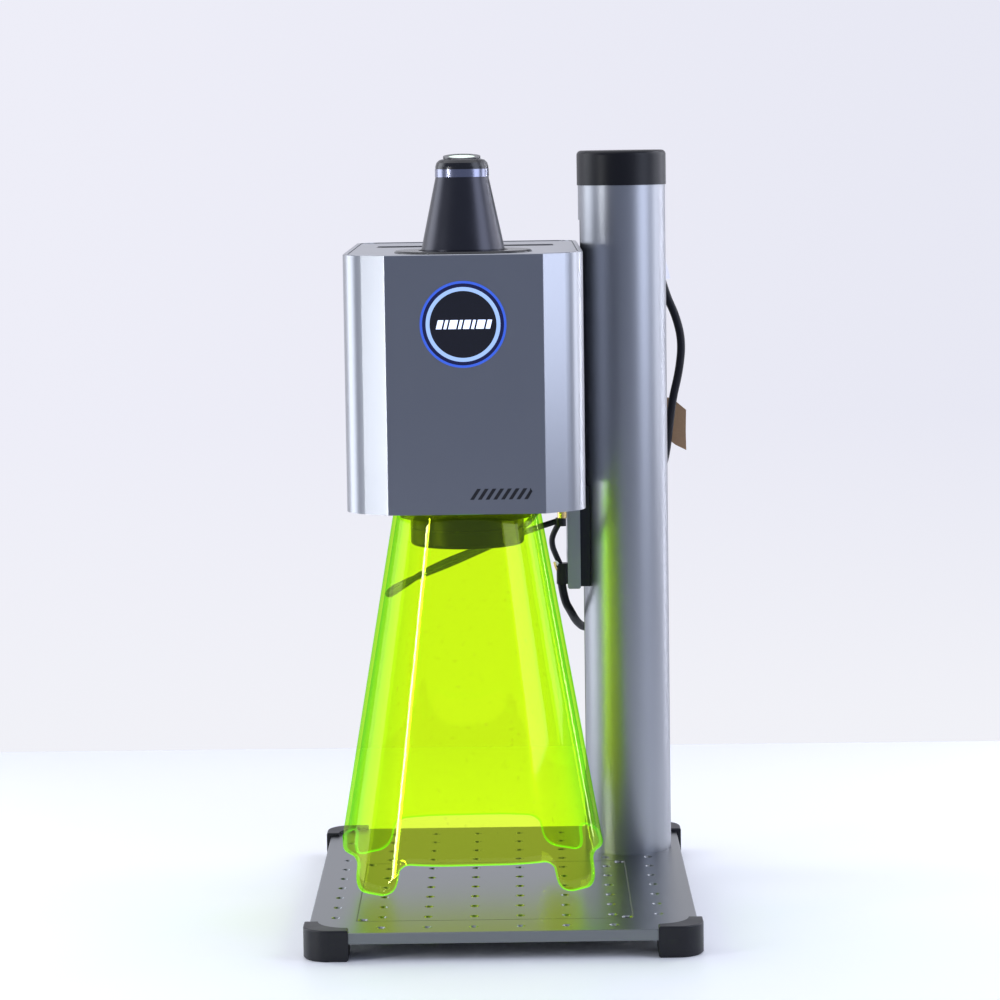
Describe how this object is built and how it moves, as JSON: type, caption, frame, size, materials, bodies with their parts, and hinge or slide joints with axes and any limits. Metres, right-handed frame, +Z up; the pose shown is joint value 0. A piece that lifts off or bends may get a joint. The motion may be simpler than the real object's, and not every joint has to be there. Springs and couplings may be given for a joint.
{
  "type": "desktop laser cutter",
  "caption": "Desktop galvo laser cutter: deep head with a scanning lens on a round motorised lift column, drilled base plate with corner feet, and a flared see-through safety hood.",
  "frame": {"origin": "on the floor, midway between the four feet", "axes": "+X to the right seen from the front, +Y to the rear, +Z up along the column and the laser's exit axis"},
  "size_m": [0.219, 0.2872, 0.426],
  "materials": {
    "anodised_slate": "fine bead-blasted anodising",
    "anodised_dark": "dark anodised, satin",
    "bare_aluminium": "machined",
    "black_plastic": "moulded, satin",
    "black_gloss": "polished",
    "feet_rubber": "satin",
    "steel": "ground",
    "black_steel": "black oxide",
    "brass": "machined",
    "hood_acrylic": "clear tinted, polished edges",
    "lens_glass": "coated",
    "mirror": "coated",
    "board_green": "solder mask",
    "white_plastic": "translucent, lit from below",
    "light_ring": "diffusing, lit blue-white",
    "badge_black": "polished",
    "lead_black": "satin jacket",
    "pale_plastic": "moulded, satin",
    "kraft": "uncoated paper"
  },
  "bodies": {
    "base": {"base_plate": "anodised_slate", "feet": "feet_rubber", "base_screws": "black_steel", "column_tube": "anodised_slate", "column_cap": "black_plastic", "column_shoe": "bare_aluminium", "lift_motor": "black_steel", "rod_holder_lower": "bare_aluminium", "rod_holder_upper": "bare_aluminium", "guide_rods": "steel", "screw_bearing": "steel", "lead_socket": "pale_plastic", "lead_clip": "black_plastic", "lead_upper": "lead_black", "lead_tag": "kraft", "lead_span": "lead_black"},
    "drive_screw": {"lead_screw": "steel", "motor_shaft": "bare_aluminium"},
    "head": {"carriage": "bare_aluminium", "lift_nut": "brass", "guide_bushes": "brass", "saddle": "anodised_dark", "head_bracket": "anodised_slate", "head_screws": "black_steel", "head_housing": "anodised_slate", "head_top_cover": "anodised_slate", "top_vent": "black_plastic", "knob_seat": "black_gloss", "head_floor": "anodised_dark", "rear_panel": "anodised_dark", "badge_rings": "light_ring", "badge_face": "badge_black", "badge_board": "board_green", "lens_mount": "anodised_dark", "lens_barrel": "anodised_dark", "lens_glass": "lens_glass", "optics_frame": "bare_aluminium", "galvo_x_motor": "black_steel", "galvo_y_motor": "black_steel", "laser_module": "anodised_dark", "heat_sink": "bare_aluminium", "control_board": "board_green", "fan_frame": "black_plastic", "rear_sockets": "black_plastic", "knob_encoder": "black_steel", "lead_link": "lead_black", "lead_loop": "lead_black", "plug_collar": "brass", "lead_plugs": "black_plastic"},
    "scan_mirror_x": {"mirror_x": "mirror"},
    "scan_mirror_y": {"mirror_y": "mirror"},
    "fan": {"fan_rotor": "black_plastic"},
    "knob": {"knob_cone": "black_plastic", "knob_shaft": "steel", "knob_cap": "black_gloss"},
    "knob_push": {"knob_button": "white_plastic"},
    "power_push": {"power_button": "white_plastic"},
    "hood_holder": {"hood_collar": "black_plastic"},
    "hood_body": {"hood": "hood_acrylic", "hood_ring": "black_steel"}
  },
  "joints": [
    {"name": "lift", "type": "slide", "parent": "base", "child": "head", "axis": [0, 0, 1], "range_m": [-0.01, 0.08], "deforming": ["lead_span"]},
    {"name": "screw_spin", "type": "hinge", "parent": "base", "child": "drive_screw", "pos_m": [0.0739, 0.078, 0.082], "axis": [0, 0, 1], "range_deg": [-460, 3610]},
    {"name": "knob_turn", "type": "hinge", "parent": "head", "child": "knob", "pos_m": [-0.017, -0.05, 0.39], "axis": [0, 0, 1], "continuous": true},
    {"name": "knob_press", "type": "slide", "parent": "knob", "child": "knob_push", "axis": [0, 0, -1], "range_m": [0, 0.0012], "stiffness_N_per_m": 400},
    {"name": "galvo_x_turn", "type": "hinge", "parent": "head", "child": "scan_mirror_x", "pos_m": [0.005, -0.05, 0.28], "axis": [0, 0, 1], "range_deg": [-12, 12]},
    {"name": "galvo_y_turn", "type": "hinge", "parent": "head", "child": "scan_mirror_y", "pos_m": [-0.017, -0.05, 0.28], "axis": [0, 1, 0], "range_deg": [-12, 12]},
    {"name": "fan_spin", "type": "hinge", "parent": "head", "child": "fan", "pos_m": [-0.017, 0.111, 0.312], "axis": [0, 1, 0], "continuous": true},
    {"name": "power_press", "type": "slide", "parent": "head", "child": "power_push", "axis": [0, -1, 0], "range_m": [0, 0.0015], "stiffness_N_per_m": 300},
    {"name": "hood_pull", "type": "slide", "parent": "head", "child": "hood_holder", "axis": [0, 0, -1], "range_m": [0, 0.012]},
    {"name": "hood_turn", "type": "hinge", "parent": "hood_holder", "child": "hood_body", "pos_m": [-0.017, -0.05, 0.23], "axis": [0, 0, 1], "continuous": true}
  ],
  "couplings": [
    {"joint": "screw_spin", "follows": "lift", "rad_per_m": 785.4}
  ]
}
